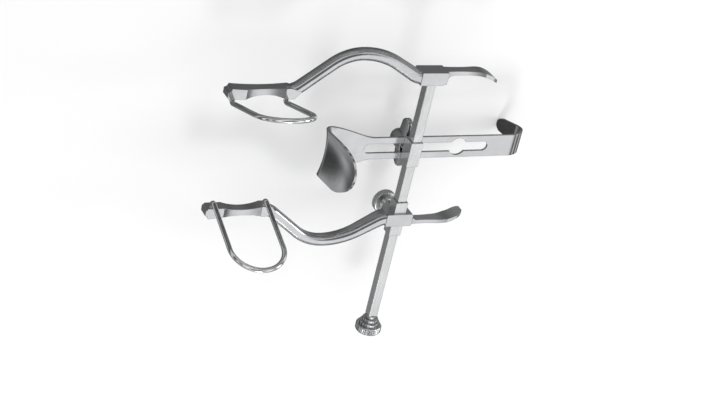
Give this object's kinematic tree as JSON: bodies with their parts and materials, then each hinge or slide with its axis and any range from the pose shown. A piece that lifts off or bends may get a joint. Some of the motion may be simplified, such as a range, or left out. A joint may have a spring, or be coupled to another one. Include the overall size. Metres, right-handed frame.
{
  "type": "self retaining retractor",
  "caption": "Self retaining surgical retractor: square bar with a fixed and a sliding hooked arm, wire loop blades, and a slotted centre blade held by a wing screw",
  "frame": {"origin": "middle of the flat outer end of the fixed arm's head, on the bar's axis", "axes": "+Y out of that face, so the bar runs along -Y; +X along the handles, so the jaws reach along -X; +Z the way the blades go into the wound, up as the instrument lies on its back"},
  "size_m": [0.283, 0.2674, 0.1159],
  "materials": {
    "bar": "satin stainless steel",
    "fixed_arm": "polished stainless steel",
    "fixed_loop_blade": "polished stainless steel",
    "end_knob": "satin stainless steel",
    "sliding_arm": "polished stainless steel",
    "guide_sleeve": "satin stainless steel",
    "sliding_loop_blade": "polished stainless steel",
    "lock_pad": "satin stainless steel",
    "lock_screw": "satin stainless steel",
    "slider": "satin stainless steel",
    "slider_pad": "satin stainless steel",
    "wing_screw": "satin stainless steel",
    "centre_blade": "polished stainless steel"
  },
  "bodies": {
    "frame": {"bar": "bar", "fixed_arm": "fixed_arm", "fixed_loop_blade": "fixed_loop_blade"},
    "knob": {"end_knob": "end_knob"},
    "sliding_side": {"sliding_arm": "sliding_arm", "guide_sleeve": "guide_sleeve", "sliding_loop_blade": "sliding_loop_blade"},
    "lock_feeder": {"lock_pad": "lock_pad"},
    "lock_turner": {"lock_screw": "lock_screw"},
    "slider_box": {"slider": "slider"},
    "wing_feeder": {"slider_pad": "slider_pad"},
    "wing_turner": {"wing_screw": "wing_screw"},
    "centre_strap": {"centre_blade": "centre_blade"}
  },
  "joints": [
    {"name": "knob_turn", "type": "hinge", "parent": "frame", "child": "knob", "pos_m": [0, -0.2333, 0], "axis": [0, -1, 0], "range_deg": [0, 90]},
    {"name": "arm_slide", "type": "slide", "parent": "frame", "child": "sliding_side", "axis": [0, -1, 0], "range_m": [-0.005, 0.081]},
    {"name": "lock_feed", "type": "slide", "parent": "sliding_side", "child": "lock_feeder", "axis": [0, 0, -1], "range_m": [0, 0.0008]},
    {"name": "lock_turn", "type": "hinge", "parent": "lock_feeder", "child": "lock_turner", "pos_m": [0, -0.1356, -0.0205], "axis": [0, 0, -1], "range_deg": [0, 360]},
    {"name": "slider_slide", "type": "slide", "parent": "frame", "child": "slider_box", "axis": [0, 1, 0], "range_m": [-0.009, 0.024]},
    {"name": "wing_feed", "type": "slide", "parent": "slider_box", "child": "wing_feeder", "axis": [0, 0, -1], "range_m": [0, 0.0008]},
    {"name": "wing_turn", "type": "hinge", "parent": "wing_feeder", "child": "wing_turner", "pos_m": [0, -0.075, -0.015], "axis": [0, 0, -1], "range_deg": [0, 360]},
    {"name": "blade_slide", "type": "slide", "parent": "slider_box", "child": "centre_strap", "axis": [1, 0, 0], "range_m": [-0.068, 0.0345]}
  ],
  "couplings": [
    {"joint": "lock_turn", "follows": "lock_feed", "rad_per_m": 7854},
    {"joint": "wing_turn", "follows": "wing_feed", "rad_per_m": 7854}
  ]
}
